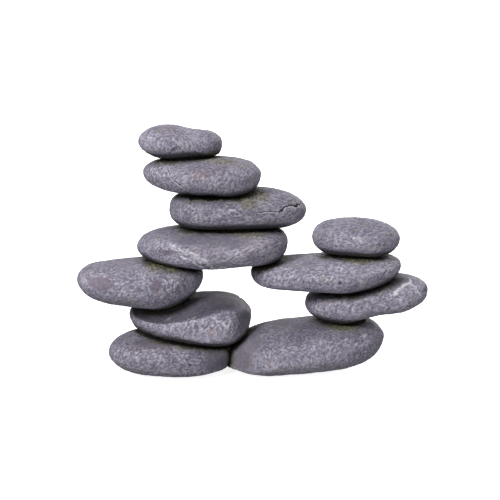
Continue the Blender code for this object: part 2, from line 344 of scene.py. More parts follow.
LOOKS = {
    "left_cap_stone": Look(
        "basalt_light", 1.10, lean=-50, top=0.1, crust=0.85,
        faces=[((-0.1, -0.55, 0.83), 0.7)],
        swells=[((0.7, 0.95), 7, -0.55), ((0.88, 0.8), 6, 0.5)],
        # The first pale patch, at the left end, adds pale crust as painted light on the side the light
        # comes from.
        pale=[((0.2, 0.63), 10, 6), ((0.6, 0.65), 10, 5)],
        mauve=[((0.35, 0.9), 10, 3)],
        pits=[((0.45, 0.35), 1.6), ((0.5, 0.4), 1.3), ((0.4, 0.3), 1.0)],
    ),
    "left_neck_stone": Look(
        "basalt_mid", 0.97, lean=70, top=0.15,
        faces=[((0, -0.5, 0.86), 0.6), ((-0.5, -0.6, -0.6), 0.6)],
        breaks=[([(0.21, 0.82), (0.26, 0.55), (0.34, 0.36), (0.44, 0.06)], 0.6, 5, 0.5, 1.0, 0.6)],
        # The first pale patch, at the left end, adds pale crust as painted light on the side the light
        # comes from.
        pale=[((0.16, 0.6), 9, 6), ((0.6, 0.6), 14, 4)],
        moss=[((0.67, 0.95), 11, 1.6)],
        tan=[((0.48, 0.63), 5, 2.4)],
        mauve=[((0.6, 0.75), 10, 3)],
    ),
    "left_shoulder_stone": Look(
        "basalt_mid", 0.89, lean=20, top=0.1,
        faces=[((0.3, -0.45, 0.84), 0.8), ((0.1, -0.96, -0.25), 0.5)],
        breaks=[
            ([(0.63, 0.57), (0.84, 0.56)], 0.3, 3, 0.3, 0.9, 0.4),
            ([(0.79, 0.59), (0.88, 0.65), (0.97, 0.63)], 0.3, 3, 0.3, 1.0, 0.9),
        ],
        pale=[((0.76, 0.83), 11, 4), ((0.45, 0.57), 10, 4), ((0.2, 0.6), 8, 4)],
        moss=[((0.58, 0.77), 5.5, 3.6), ((0.65, 0.9), 7, 2)],
        # painted shadow on its top, under the neck stone's overhang
        painted_shadow=[((0.24, 0.88), 19, 1.9)],
    ),
    "bridge_stone": Look(
        "basalt_mid", 1.0, lean=35, top=0.1, crust=0.9,
        faces=[((0, -0.62, 0.78), 1.6), ((0.3, -0.86, -0.42), 1.4), ((-0.42, -0.84, -0.34), 1.8)],
        breaks=[
            ([(0.22, 0.72), (0.34, 0.55), (0.52, 0.2)], 0.85, 7, 0.9, 0.3, 1.0),
            ([(0.53, 0.25), (0.62, 0.45), (0.77, 0.75)], 0.45, 5, 0.25, 0, 0.7),
        ],
        veins=[
            ([(0.28, 0.53), (0.36, 0.4), (0.46, 0.14)], 0.9),
            ([(0.33, 0.66), (0.42, 0.5), (0.5, 0.36)], 0.7),
            ([(0.45, 0.3), (0.53, 0.12), (0.6, 0.2)], 0.8),
        ],
        eyes=[((0.22, 0.54), 2.8, 2.0)],
        pale=[((0.35, 0.52), 9, 3), ((0.5, 0.3), 9, 3.5), ((0.7, 0.6), 9, 3), ((0.2, 0.7), 8, 4)],
        smooth=[((0.4, 0.86), 15, 3), ((0.62, 0.82), 15, 3)],
        moss=[((0.77, 0.95), 12, 1.4)],
        mauve=[((0.5, 0.66), 5, 3)],
        pits=[((0.84, 0.47), 1.0), ((0.34, 0.48), 1.2)],
    ),
    "left_wing_stone": Look(
        "basalt_light", 1.0, lean=70, top=0.15,
        faces=[((-0.35, -0.75, 0.56), 0.9), ((0.15, -0.6, 0.78), 0.8), ((0.55, -0.7, -0.4), 0.8)],
        eyes=[((0.22, 0.67), 8, 3.8), ((0.65, 0.61), 3.8, 3.4)],
        pale=[((0.25, 0.87), 12, 2.2), ((0.5, 0.78), 10, 3.5), ((0.42, 0.5), 6, 3), ((0.77, 0.6), 6, 7)],
        moss=[((0.77, 0.89), 7, 1.6), ((0.67, 0.94), 9, 1.8)],
    ),
    "left_knee_stone": Look(
        "basalt_dark", 1.15, lean=60, top=1.05, crust=1.15,
        faces=[((-0.22, -0.42, 0.88), 2.4), ((0, -0.985, -0.1), 1.8), ((0.86, -0.5, 0.05), 1.8)],
        breaks=[([(0.87, 0.36), (0.9, 0.55), (0.88, 0.78)], 0.45, 3, 0.45, 0, 0.5)],
        veins=[([(0.78, 0.65), (0.81, 0.49), (0.84, 0.67)], 1.0), ([(0.6, 0.7), (0.59, 0.55)], 0.8)],
        pale=[((0.3, 0.58), 8, 3.5), ((0.55, 0.6), 10, 4.5), ((0.76, 0.6), 6, 5)],
        smooth=[((0.95, 0.55), 4, 9), ((0.1, 0.72), 6, 4)],
        tan=[((0.7, 0.46), 4, 2)],
    ),
    "left_foot_stone": Look(
        "basalt_dark", 0.86, lean=40, top=0.05, crust=1.2,
        faces=[
            ((-0.1, -0.55, 0.83), 1.2), ((0.05, -0.97, -0.2), 0.8), ((0.2, -0.1, -0.97), 3.0),
        ],
        swells=[((1.0, 0.45), 8, 0.9)],
        pale=[((0.12, 0.65), 6, 5), ((0.35, 0.7), 14, 3.5), ((0.55, 0.67), 8, 4)],
        smooth=[((0.9, 0.5), 8, 7), ((0.36, 0.9), 11, 2)],
        # painted shadow at its right end, under the knee stone
        painted_shadow=[((1.0, 0.6), 2.0, 9)],
        mauve=[((0.35, 0.86), 16, 3), ((0.78, 0.65), 7, 4)],
        pits=[((0.69, 0.47), 1.2), ((0.66, 0.58), 0.9), ((0.78, 0.5), 0.8)],
    ),
    "right_cap_stone": Look(
        "basalt_light", 1.05, lean=35, top=0.12, crust=0.75,
        faces=[((0, -0.85, -0.3), 0.5)],
        veins=[([(0.42, 0.63), (0.51, 0.6), (0.54, 0.49)], 0.8)],
        pale=[((0.42, 0.63), 11, 3.5), ((0.45, 0.48), 12, 3)],
        mauve=[((0.81, 0.61), 5, 3)],
    ),
    "right_span_stone": Look(
        # Its light is raised partly as painted light, against the shade on its left part.
        "basalt_light", 1.06, lean=55, top=0.05,
        faces=[((0, -0.6, 0.8), 1.0), ((-0.1, -0.93, -0.33), 0.9), ((0.5, -0.76, -0.42), 0.9)],
        pale=[((0.22, 0.64), 10, 5), ((0.45, 0.64), 9, 4), ((0.6, 0.8), 8, 4), ((0.88, 0.8), 6, 5)],
        moss=[((0.72, 0.97), 11, 1.4)],
        pits=[((0.57, 0.47), 1.2), ((0.34, 0.47), 0.9)],
    ),
    "right_wing_stone": Look(
        # Its light is raised partly as painted light, against the shade that the span stone casts on it.
        "basalt_mid", 1.10, lean=38, top=0.1,
        faces=[((0.1, -0.5, 0.86), 1.4), ((0.3, -0.93, 0.1), 0.8), ((0.93, -0.3, 0.1), 0.7)],
        breaks=[
            ([(0.94, 0.62), (0.89, 0.78), (0.84, 0.92)], 1.1, 5, 0.6, 0.35, 0.2),
            ([(0.64, 0.6), (0.74, 0.76), (0.82, 0.78)], 0.35, 3.5, 0.2, 0, 0.5),
        ],
        veins=[
            ([(0.68, 0.72), (0.77, 0.86), (0.85, 0.92)], 1.4),
            ([(0.83, 0.95), (0.88, 0.81), (0.94, 0.64)], 2.0),
        ],
        pale=[((0.7, 0.68), 8, 3), ((0.3, 0.55), 9, 4), ((0.12, 0.45), 7, 4)],
        smooth=[((0.69, 0.92), 10, 3)],
        mauve=[((0.6, 0.67), 5, 3)],
        pits=[((0.44, 0.48), 0.8), ((0.53, 0.46), 0.9)],
    ),
    "right_foot_stone": Look(
        "basalt_dark", 0.98, lean=55, top=0.36,
        faces=[
            ((-0.3, -0.42, 0.86), 1.6), ((0.03, -0.97, 0.2), 0.8), ((-0.7, -0.65, 0.25), 1.2),
            ((-0.2, -0.12, -0.97), 3.2),
        ],
        swells=[((0.0, 0.35), 8, 0.9)],
        breaks=[([(0.48, 0.95), (0.3, 0.86), (0.19, 0.77)], 0.3, 4, 0, 0.45, 0.5)],
        pale=[((0.28, 0.66), 9, 5), ((0.43, 0.74), 14, 5), ((0.67, 0.79), 11, 5), ((0.82, 0.83), 9, 5)],
        # The second smooth patch and the mauve patch are painted shade on the left end, beside the seam
        # under the knee stone.
        smooth=[((0.15, 0.68), 10, 6), ((0.08, 0.4), 10, 9)],
        moss=[((0.74, 0.95), 9, 1.4)],
        mauve=[((0.1, 0.36), 10, 7)],
        pits=[((0.85, 0.78), 1.2)],
    ),
}


# ---------------------------------------------------------------------------------------------------------
# Sculpting. Each noise has a number of its own, which is added to the stone's seed.
# ---------------------------------------------------------------------------------------------------------

FLAT_BAND = 0.9 * MM  # how far from its edge a worn flat is rounded
FLAT_ROUNDS = 3  # of smoothing, once the flats are worn
STROKE_SWING = 0.9  # how far the strokes wander from a stone's lean, in radians
EYE_PULL = 1.5  # how strongly an eye turns the strokes round it
CRACK_HALF_WIDTH = 0.5 * MM
VEIN_HALF_WIDTH = 0.5 * MM
NO_CRACK = 3.0  # crack offsets are counted in half widths and kept to this on each side
HAIRLINE_BEND = 60 * MM  # about how far a crack on the back runs before it turns
NOISE_SLOPE = 2.5  # about how steeply the noise crosses 0, per wavelength

# Heights and depths of the relief, in mm
LUMP = 0.42
SMALL_LUMP = 0.10
STROKE = 0.09
NICK = 0.12
PORE = 0.2
PIT = 0.5
VEIN = 0.2
CRACK = 0.45
MOSS = 0.7


def line_field(points, line):
    """For points (n, 2) and a line of points: the distance, positive to the right of the line as it is
    walked, and how far along the line the nearest place is, 0 to 1."""
    best = np.full(len(points), np.inf)
    side = np.ones(len(points))
    share = np.zeros(len(points))
    lengths = np.array([np.linalg.norm(end - start) for start, end in zip(line[:-1], line[1:])])
    starts = np.concatenate([[0], np.cumsum(lengths)])
    for i, (start, end) in enumerate(zip(line[:-1], line[1:])):
        along = (end - start) / lengths[i]
        from_start = points - start
        t = np.clip(from_start @ along, 0, lengths[i])
        off = np.linalg.norm(from_start - t[:, None] * along, axis=1)
        turn = from_start[:, 0] * along[1] - from_start[:, 1] * along[0]
        near = off < best
        best[near] = off[near]
        side[near] = np.where(turn[near] > 0, 1, -1)
        share[near] = (starts[i] + t[near]) / starts[-1]
    return best * side, share


def soft_cut(points, direction, depth, width):
    """Wears a flat onto a solid: what stands beyond a plane is pressed back to it, with a rounded edge."""
    outward = np.array(direction, float)
    outward /= np.linalg.norm(outward)
    reach = points @ outward
    over = reach - (reach.max() - depth)
    press = np.where(over > width, over, np.square(np.clip(over + width, 0, None)) / (4 * width))
    return points - press[:, None] * outward


def back_faces(seed):
    """Worn flats at random on the back of a stone, as in Look.faces."""
    rng = np.random.default_rng(seed)
    faces = []
    for _ in range(3):
        turn = rng.uniform(0.15, 0.85) * math.pi
        rise = rng.uniform(-0.5, 0.8)
        faces.append(((math.cos(turn), math.sin(turn), rise), rng.uniform(0.5, 1.3)))
    return faces


def wander(points, reach, wavelength, seed):
    """Small steps across and up, so that nothing laid out on a stone looks ruled."""
    return reach * np.column_stack([noise(points, wavelength, seed), noise(points, wavelength, seed + 1)])


class Front:
    """The front of a stone seen flat: how its points lie to places and lines given as shares of its box."""

    def __init__(self, name, points, normals, seed):
        low, high = (np.array(corner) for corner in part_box(name))
        self.size = (high - low)[[0, 2]]
        steps = wander(points, 0.6 * MM, 5 * MM, seed + 40)
        steps += wander(points, 0.3 * MM, 2 * MM, seed + 42)
        self.plan = (points - low)[:, [0, 2]] + steps
        self.facing = ramp(-normals[:, 1], -0.05, 0.25)
        self.jagged = noise(points, 2.4 * MM, seed + 44)

    def place(self, share):
        return np.array(share) * self.size

    def reach(self, middle, half_length, half_height):
        """How far off the middle each point is, where 1 is the rim of the ellipse."""
        halves = (half_length * MM, half_height * MM)
        return np.linalg.norm((self.plan - self.place(middle)) / halves, axis=1)

    def spots(self, patches, rim=1.3, core=0.5, grow=1.0):
        """1 inside the core of each patch and 0 outside its rim, both counted in its own half sizes."""
        total = np.zeros(len(self.plan))
        for middle, half_length, half_height in patches:
            reach = self.reach(middle, grow * half_length, grow * half_height)
            total = np.maximum(total, ramp(reach, rim, core) * self.facing)
        return total

    def line(self, shares, jag):
        """Distance from a line, positive on its right, and how much of it is there, fading at its ends."""
        off, along = line_field(self.plan, [self.place(share) for share in shares])
        shown = ramp(along, 0.0, 0.1) * ramp(along, 1.0, 0.9) * self.facing
        return off + jag * MM * self.jagged, shown


def back_patches(front, points, seed):
    """Patches at random on the sides and back."""
    return ramp(noise(points, 20 * MM, seed), 0.05, 0.5) * (1 - front.facing)


def hairlines(points, normals, seed):
    """Cracks that wander over the sides and back: distance from the nearest, and how much of it shows."""
    off = noise(points, HAIRLINE_BEND, seed + 60) * HAIRLINE_BEND / NOISE_SLOPE
    off += 0.6 * MM * noise(points, 5 * MM, seed + 61)
    off += 0.3 * MM * noise(points, 2 * MM, seed + 63)
    shown = ramp(noise(points, 40 * MM, seed + 62), 0.0, 0.35) * ramp(normals[:, 1], -0.1, 0.3)
    return off, 0.85 * shown


def flow(front, points, normals, look, seed):
    """The way that the strokes run at each point: the stone's lean, wandering, and round each eye."""
    angle = math.radians(look.lean) + STROKE_SWING * noise(points, 9 * MM, seed + 50)
    across, up = np.cos(angle), np.sin(angle)
    for middle, half_length, half_height in look.eyes:
        offset = (front.plan - front.place(middle)) / (half_length * MM, half_height * MM)
        reach = np.linalg.norm(offset, axis=1)
        pull = EYE_PULL * ramp(reach, 1.9, 1.0)
        across += pull * -offset[:, 1] * half_length / (reach * half_height + 0.1)
        up += pull * offset[:, 0] * half_height / (reach * half_length + 0.1)
    heading = np.column_stack([across, np.zeros(len(points)), up])
    heading -= np.einsum("ij,ij->i", heading, normals)[:, None] * normals
    return heading / (np.linalg.norm(heading, axis=1)[:, None] + 1e-6)


def smeared(points, heading, wavelength, seed, reach, step):
    """Noise drawn out along a heading into short strokes, with mean 0 and deviation 1. It is summed over
    reach places on each side of a point, step wavelengths apart."""
    total = np.zeros(len(points))
    for k in range(-reach, reach + 1):
        total += noise(points + heading * (k * step * wavelength), wavelength, seed)
    return (total - total.mean()) / total.std()


def brushed(points, heading, seed):
    """Short strokes and thin winding ridges along a heading, with mean 0 and deviation 1."""
    worms = 0.8 - np.abs(smeared(points, heading, 1.5 * MM, seed + 21, 1, 0.5))
    strokes = smeared(points, heading, 1.15 * MM, seed + 20, 1, 0.36) + 0.55 * worms
    return (strokes - strokes.mean()) / strokes.std()


def broken(front, look, cracks, height):
    """Cuts the breaks, veins and cracks into height. Returns how pale each point is, and its offset from
    the nearest crack, in half widths of a crack."""
    edge = np.zeros(len(height))
    for line, depth, width, paleness, darkness, jag in look.breaks:
        off, shown = front.line(line, jag)
        flake = depth * shown * ramp(off, -0.25 * MM, 0.45 * MM)
        flake *= ramp(off, width * MM, 0.25 * width * MM)
        height -= flake
        lip = ramp(off, -(1.2 + 1.6 * paleness) * MM, -0.4 * MM) * ramp(off, 0.9 * MM, 0.4 * MM)
        edge = np.maximum(edge, paleness * shown * lip)
        if darkness:
            cracks = [*cracks, (off, shown * darkness)]
    for line, strength in look.veins:
        off, shown = front.line(line, 0.4)
        vein = strength * shown * ramp(np.abs(off), 2.4 * VEIN_HALF_WIDTH, 0.3 * VEIN_HALF_WIDTH)
        height += VEIN * vein
        edge = np.maximum(edge, vein)

    crack = np.full(len(height), NO_CRACK)
    for off, shown in cracks:
        widths = off / CRACK_HALF_WIDTH
        height -= CRACK * shown * ramp(np.abs(widths), 1.5, 0.2)
        away = np.abs(widths) + NO_CRACK * (1 - shown)
        crack = np.where(away < np.abs(crack), np.copysign(away, widths), crack)
    return edge, np.clip(crack, -NO_CRACK, NO_CRACK)


def sculpt(name, look, points, mesh, neighbours, seed):
    """Carves a pebble's relief into its skin. Returns its points and its material's masks."""
    for direction, depth in look.faces + back_faces(seed):
        points = soft_cut(points, direction, depth * MM, FLAT_BAND)
    points = smoothed(points, neighbours, FLAT_ROUNDS)
    move_points(mesh, points)
    normals = point_normals(mesh)
    front = Front(name, points, normals, seed)

    # How much there is at each point of each kind of patch
    eyes = front.spots(look.eyes, 1.15, 0.75)
    rings = front.spots(look.eyes, grow=1.6) * (1 - eyes)
    pale = np.maximum(front.spots(look.pale), back_patches(front, points, seed + 16))
    mauve = np.maximum(front.spots(look.mauve), back_patches(front, points, seed + 17))
    moss = front.spots(look.moss)
    bare = front.spots(look.smooth)
    # The darker upward side is partly a smooth worn finish and partly painted shade.
    worn = look.top * ramp(normals[:, 2], 0.6, 0.92)
    smooth = np.maximum(0.75 * bare, np.maximum(0.7 * eyes, 0.6 * worn))
    rough = 1 - 0.8 * smooth
    pits = front.spots([(middle, radius, radius) for middle, radius in look.pits])
    pits *= ramp(noise(points, 1.9 * MM, seed + 15), -0.3, 0.3)
    pores = ramp(noise(points, 2.1 * MM, seed + 12), 0.5, 0.78)
    pores *= ramp(noise(points, 11 * MM, seed + 13), -0.1, 0.5)

    heading = flow(front, points, normals, look, seed)
    strokes = brushed(points, heading, seed)
    nicks = pale * ramp(smeared(points, heading, 2.3 * MM, seed + 23, 2, 0.4), 1.3, 2.1)

    height = LUMP * fractal(points, 17 * MM, 3, seed) + SMALL_LUMP * fractal(points, 4.2 * MM, 2, seed + 5)
    for place, reach, rise in look.swells:
        height += rise * np.exp(-np.square(front.reach(place, reach, reach)))
    height += STROKE * rough * np.clip(strokes, -2.2, 2.2) * (0.8 + 0.3 * pale)
    height += NICK * nicks - PORE * pores * rough - PIT * pits
    edge, crack = broken(front, look, [hairlines(points, normals, seed)], height)
    height += MOSS * moss * ramp(noise(points, 1.5 * MM, seed + 30), -0.5, 0.6)
    points = points + normals * (height * MM)[:, None]
    points[:, 2] = np.maximum(points[:, 2], 0)  # the arch stands on the ground

    under = ramp(-normals[:, 2], 0.0, 0.75)
    clouds = 0.5 + 0.5 * noise(points, 12 * MM, seed + 14)
    dust = look.crust * (0.6 + 0.45 * clouds + 0.4 * pale + 0.4 * rings) * rough * (1 - 0.3 * under)
    masks = {
        "smooth": smooth,
        # the darker upward side: partly worn, partly painted shade
        "worn": np.maximum(worn, 0.4 * bare),
        # the patches of painted shadow
        "painted_shadow": front.spots(look.painted_shadow),
        "strokes": np.clip(strokes, -3, 3),
        "dust": np.clip(dust, 0, 1.4),
        "edge": np.maximum(edge, 0.45 * nicks),
        "crack": crack,
        "pits": np.maximum(0.7 * pores, pits),
        "moss": moss,
        "tan": front.spots(look.tan),
        "mauve": np.maximum(0.8 * eyes, 0.4 * mauve),
        "under": under,
    }
    return points, masks


# ---------------------------------------------------------------------------------------------------------
# Materials
# ---------------------------------------------------------------------------------------------------------

class Nodes:
    """A material's node tree, with short calls to add to it."""

    def __init__(self, name):
        self.material = bpy.data.materials.new(name)
        self.material.use_nodes = True
        self.tree = self.material.node_tree
        self.tree.nodes.clear()
        self.out = self.tree.nodes.new("ShaderNodeOutputMaterial")
        self.shader = self.tree.nodes.new("ShaderNodeBsdfPrincipled")
        self.tree.links.new(self.shader.outputs[0], self.out.inputs[0])

    def add(self, kind, settings=None, **inputs):
        node = self.tree.nodes.new(kind)
        for key, value in (settings or {}).items():
            setattr(node, key, value)
        for key, value in inputs.items():
            self.put(node.inputs[key], value)
        return node

    def put(self, socket, value):
        if isinstance(value, bpy.types.NodeSocket):
            self.tree.links.new(value, socket)
        elif isinstance(value, bpy.types.Node):
            self.tree.links.new(value.outputs[0], socket)
        else:
            socket.default_value = value

    def surface(self, **inputs):
        """Sets the shader's inputs, each named as Blender names it, with _ for a space."""
        for key, value in inputs.items():
            self.put(self.shader.inputs[key.replace("_", " ")], value)

    def math(self, operation, a, b=0.0):
        node = self.add("ShaderNodeMath", {"operation": operation})
        self.put(node.inputs[0], a)
        self.put(node.inputs[1], b)
        return node.outputs[0]

    def plus(self, a, b):
        return self.math("ADD", a, b)

    def minus(self, a, b):
        return self.math("SUBTRACT", a, b)

    def times(self, a, b):
        return self.math("MULTIPLY", a, b)

    def step(self, value, low, high, to_low=0.0, to_high=1.0):
        """to_low below low, to_high above high, smooth between. low may be above high."""
        node = self.add("ShaderNodeMapRange", {"interpolation_type": "SMOOTHSTEP"})
        for index, item in enumerate((value, low, high, to_low, to_high)):
            self.put(node.inputs[index], item)
        return node.outputs[0]

    def mix(self, share, a, b, blend="MIX"):
        node = self.add("ShaderNodeMix", {"data_type": "RGBA", "blend_type": blend})
        self.put(node.inputs[0], share)
        self.put(node.inputs[6], a)
        self.put(node.inputs[7], b)
        return node.outputs[2]

    def mask(self, name):
        return self.add("ShaderNodeAttribute", {"attribute_name": name}).outputs["Fac"]

    def vector(self, operation, a, b):
        node = self.add("ShaderNodeVectorMath", {"operation": operation})
        self.put(node.inputs[0], a)
        self.put(node.inputs[1], b)
        return node.outputs[0]

    def place(self):
        return self.add("ShaderNodeTexCoord").outputs["Object"]

    def noise(self, where, wavelength, detail=2.0, roughness=0.5, distortion=0.0):
        node = self.add(
            "ShaderNodeTexNoise", Vector=where, Scale=1 / wavelength, Detail=detail,
            Roughness=roughness, Distortion=distortion,
        )
        return node.outputs["Fac"]

    def strands(self, where, lean, wavelength):
        """Noise drawn out to 2.5 times its wavelength along a line that leans up from the right."""
        turned = self.add(
            "ShaderNodeVectorRotate", {"rotation_type": "Y_AXIS"}, Vector=where, Angle=math.radians(lean)
        )
        drawn = self.vector("MULTIPLY", turned, (1 / 2.5, 1.0, 1.0))
        return self.noise(drawn, wavelength, 1.0, 0.5, 0.3)

    def bump(self, height, strength, distance):
        node = self.add("ShaderNodeBump", Strength=strength, Distance=distance, Height=height)
        self.put(self.shader.inputs["Normal"], node)


def rgb(colour, light=1.0):
    r, g, b = colour
    return (r * light, g * light, b * light, 1.0)


# Colours of the stone itself, which each pebble's own light scales
BODY_DARK = (0.198, 0.182, 0.236)
BODY_PALE = (0.262, 0.243, 0.300)
LOW_STROKE = (0.088, 0.079, 0.108)
PALE_CRUST = (0.49, 0.465, 0.55)

# Clouds in the stone: colour, wavelength, the noise at which one starts and is whole, its share when whole
CLOUDS = [
    ((0.262, 0.222, 0.245), 8 * MM, 0.48, 0.70, 0.6),  # mauve
    ((0.225, 0.212, 0.185), 5 * MM, 0.54, 0.74, 0.45),  # brown
    ((0.175, 0.178, 0.245), 4 * MM, 0.54, 0.72, 0.5),  # blue
]

# Colours of what lies on the stone, and of the painted shade and highlights on it
# pale fresh rock along flaked edges, partly a painted highlight on the lit lip
FRESH_EDGE_AND_HIGHLIGHT = (0.62, 0.605, 0.66)
TAN_STAIN = (0.36, 0.25, 0.19)
PIT_DARK = (0.045, 0.042, 0.05)
# a painted highlight on one lip of a crack, and painted shade inside it
PAINTED_CRACK_HIGHLIGHT = (0.50, 0.485, 0.53)
CRACK_SHADE = (0.018, 0.017, 0.022)
# painted shade under a stone near a seam
UNDERSIDE_SHADE = (0.045, 0.041, 0.056)
SEAM_OLIVE = (0.078, 0.076, 0.042)
# nearly black: a seam's dirt and painted shade together
SEAM_BLACK_DIRT_AND_SHADE = (0.008, 0.008, 0.006)
MOSS_DARK = (0.07, 0.07, 0.035)
MOSS_PALE = (0.25, 0.235, 0.125)

# Colours that the stone's own are multiplied by
# darkens the upward side: partly its smooth worn finish, partly painted shade
WORN_AND_SHADE_TINT = (0.34, 0.33, 0.345)
MAUVE_TINT = (0.64, 0.58, 0.595)

GRIT = 1.05 * MM


def body_colour(n, where, light):
    """Violet-grey in broad clouds, more mauve here, browner or bluer there."""
    clouds = n.noise(where, 16 * MM, 3.0, 0.55)
    body = n.mix(n.step(clouds, 0.36, 0.66), rgb(BODY_DARK, light), rgb(BODY_PALE, light))
    for tint, wavelength, low, high, share in CLOUDS:
        cloud = n.step(n.noise(where, wavelength), low, high, 0.0, share)
        body = n.mix(cloud, body, rgb(tint, light))
    return body


def grit_strands(n, where, lean):
    """Fine strands that run along the stone's lean in one patch and nearly across it in the next."""
    along = n.strands(where, lean, GRIT)
    across = n.strands(where, lean - 65, GRIT)
    crossing = n.step(n.noise(where, 7 * MM), 0.40, 0.60)
    return n.add("ShaderNodeMix", Factor=crossing, A=along, B=across).outputs[0]


def crusted(n, colour, grit, rough, light):
    """Pale crust brushed over the high strokes, and darkness in the low ones."""
    level = n.plus(n.times(n.mask("strokes"), 0.75), n.times(n.minus(grit, 0.5), 6.8))
    low = n.times(n.step(level, 0.2, -2.0), rough)
    colour = n.mix(n.times(low, 0.62), colour, rgb(LOW_STROKE, light))
    high = n.times(n.step(level, -0.6, 2.6), n.mask("dust"))
    return n.mix(n.math("MINIMUM", n.times(high, 0.68), 1.0), colour, rgb(PALE_CRUST, light))


def weathered(n, colour, grit):
    """A darker upward side, partly worn smooth and partly painted shade; the palest stone along flaked
    edges, partly a painted highlight on their lit lip; stains; and dark pits.
    """
    # the darker upward side: partly worn, partly painted shade
    colour = n.mix(n.mask("worn"), colour, rgb(WORN_AND_SHADE_TINT), "MULTIPLY")
    crystals = n.step(n.plus(grit, n.times(n.mask("strokes"), 0.10)), 0.40, 0.66)
    # the pale edge: partly fresh rock, partly painted highlight
    fresh = n.times(n.mask("edge"), n.plus(n.times(crystals, 0.55), 0.45))
    colour = n.mix(fresh, colour, rgb(FRESH_EDGE_AND_HIGHLIGHT))
    colour = n.mix(n.mask("mauve"), colour, rgb(MAUVE_TINT), "MULTIPLY")
    colour = n.mix(n.times(n.mask("tan"), 0.22), colour, rgb(TAN_STAIN))
    return n.mix(n.times(n.mask("pits"), 0.8), colour, rgb(PIT_DARK))


def cracked(n, where, colour):
    """Painted shade as a dark line with torn edges along each crack, and a painted highlight as a pale rim
    on its right.
    """
    torn = n.times(n.minus(n.noise(where, 1.6 * MM, 2.0, 0.6), 0.5), 1.6)
    off = n.plus(n.mask("crack"), torn)
    # painted highlight on the crack's right lip
    rim = n.times(n.step(off, 0.6, 1.2), n.step(off, 2.9, 1.5))
    colour = n.mix(n.times(rim, 0.55), colour, rgb(PAINTED_CRACK_HIGHLIGHT))
    # painted shade in the crack
    return n.mix(n.step(n.math("ABSOLUTE", off), 1.0, 0.45), colour, rgb(CRACK_SHADE))


def seam_dirt_and_shade(n, where, colour):
    """Painted shade under the stone near a seam, and round the seam olive dirt at its edge and, nearly
    black inside, dirt and painted shade together.
    """
    # the seam, widened by the patches of painted shadow
    seam = n.math("MAXIMUM", n.mask("seam"), n.mask("painted_shadow"))
    under = n.mask("under")
    # painted shade on the underside near a seam
    shade = n.times(under, n.step(seam, 0.0, 0.65, 0.0, 1.3))
    colour = n.mix(shade, colour, rgb(UNDERSIDE_SHADE))
    ragged = n.times(n.minus(n.noise(where, 3.5 * MM, 3.0, 0.6), 0.5), 0.35)
    seam = n.plus(seam, ragged)
    patches = n.step(n.noise(where, 9 * MM), 0.40, 0.62, 0.25, 0.85)
    colour = n.mix(n.times(n.step(seam, 0.42, 0.78), patches), colour, rgb(SEAM_OLIVE))
    # painted shade: on the underside the black reaches farther from the seam
    seam = n.plus(seam, n.times(under, 0.08))
    return n.mix(n.step(seam, 0.68, 0.95), colour, rgb(SEAM_BLACK_DIRT_AND_SHADE))


def mossy(n, where, colour, grit):
    tufts = n.step(n.noise(where, 1.8 * MM, 3.0, 0.6), 0.34, 0.60)
    moss = n.times(n.mask("moss"), n.plus(n.times(tufts, 0.4), 0.3))
    green = n.mix(n.step(grit, 0.4, 0.64), rgb(MOSS_DARK), rgb(MOSS_PALE))
    return n.mix(moss, colour, green)


def basalt(name, look, seed):
    n = Nodes(name)
    where = n.vector("ADD", n.place(), (0.37 * seed, 0.11 * seed, 0.23 * seed))  # no two stones alike
    smooth = n.mask("smooth")
    rough = n.minus(1.0, n.times(smooth, 0.8))
    grit = grit_strands(n, where, look.lean)

    colour = body_colour(n, where, look.light)
    colour = crusted(n, colour, grit, rough, look.light)
    colour = weathered(n, colour, grit)
    colour = cracked(n, where, colour)
    colour = seam_dirt_and_shade(n, where, colour)
    colour = mossy(n, where, colour, grit)
    roughness = n.minus(n.step(grit, 0.3, 0.7, 0.70, 0.92), n.times(smooth, 0.1))
    n.surface(Base_Color=colour, Roughness=roughness, Specular_IOR_Level=0.28)

    # Relief too fine for the mesh
    relief = n.times(n.plus(n.times(grit, 1.6), n.noise(where, 0.6 * MM, 1.0, 0.5)), rough)
    n.bump(relief, 0.7, 0.10 * MM)
    return n.material


# Near black: partly the mortar's own colour, partly painted shade deep in the seam
MORTAR_DARK = (0.010, 0.010, 0.008)
MORTAR_SAND = (0.045, 0.043, 0.033)
MORTAR_MOSS = (0.040, 0.042, 0.016)


def mortar():
    n = Nodes("bedding_mortar")
    where = n.place()
    sand = n.step(n.noise(where, 0.8 * MM, 3.0, 0.7), 0.45, 0.75)
    moss = n.step(n.noise(where, 6 * MM, 3.0, 0.6), 0.5, 0.68)
    colour = n.mix(sand, rgb(MORTAR_DARK), rgb(MORTAR_SAND))
    colour = n.mix(n.times(moss, 0.7), colour, rgb(MORTAR_MOSS))
    roughness = n.step(sand, 0.0, 1.0, 0.98, 0.85)
    n.surface(Base_Color=colour, Roughness=roughness, Specular_IOR_Level=0.2)
    n.bump(sand, 0.9, 0.3 * MM)
    return n.material


STEEL_DARK = (0.42, 0.42, 0.43)
STEEL_BRIGHT = (0.62, 0.62, 0.62)
RUST = (0.16, 0.07, 0.035)


def steel():
    """Drawn rod with fine lines along it and a little rust."""
    n = Nodes("dowel_steel")
    where = n.place()
    lines = n.noise(n.vector("MULTIPLY", where, (1.0, 1.0, 0.08)), 0.25 * MM, 3.0, 0.6)
    rust = n.step(n.noise(where, 3 * MM, 4.0, 0.65), 0.58, 0.72, 0.0, 0.6)
    colour = n.mix(lines, rgb(STEEL_DARK), rgb(STEEL_BRIGHT))
    colour = n.mix(rust, colour, rgb(RUST))
    n.surface(Base_Color=colour, Metallic=n.minus(1.0, rust), Roughness=n.step(lines, 0.3, 0.7, 0.28, 0.42))
    n.bump(lines, 0.3, 0.03 * MM)
    return n.material


# ---------------------------------------------------------------------------------------------------------
# Building the arch
# ---------------------------------------------------------------------------------------------------------

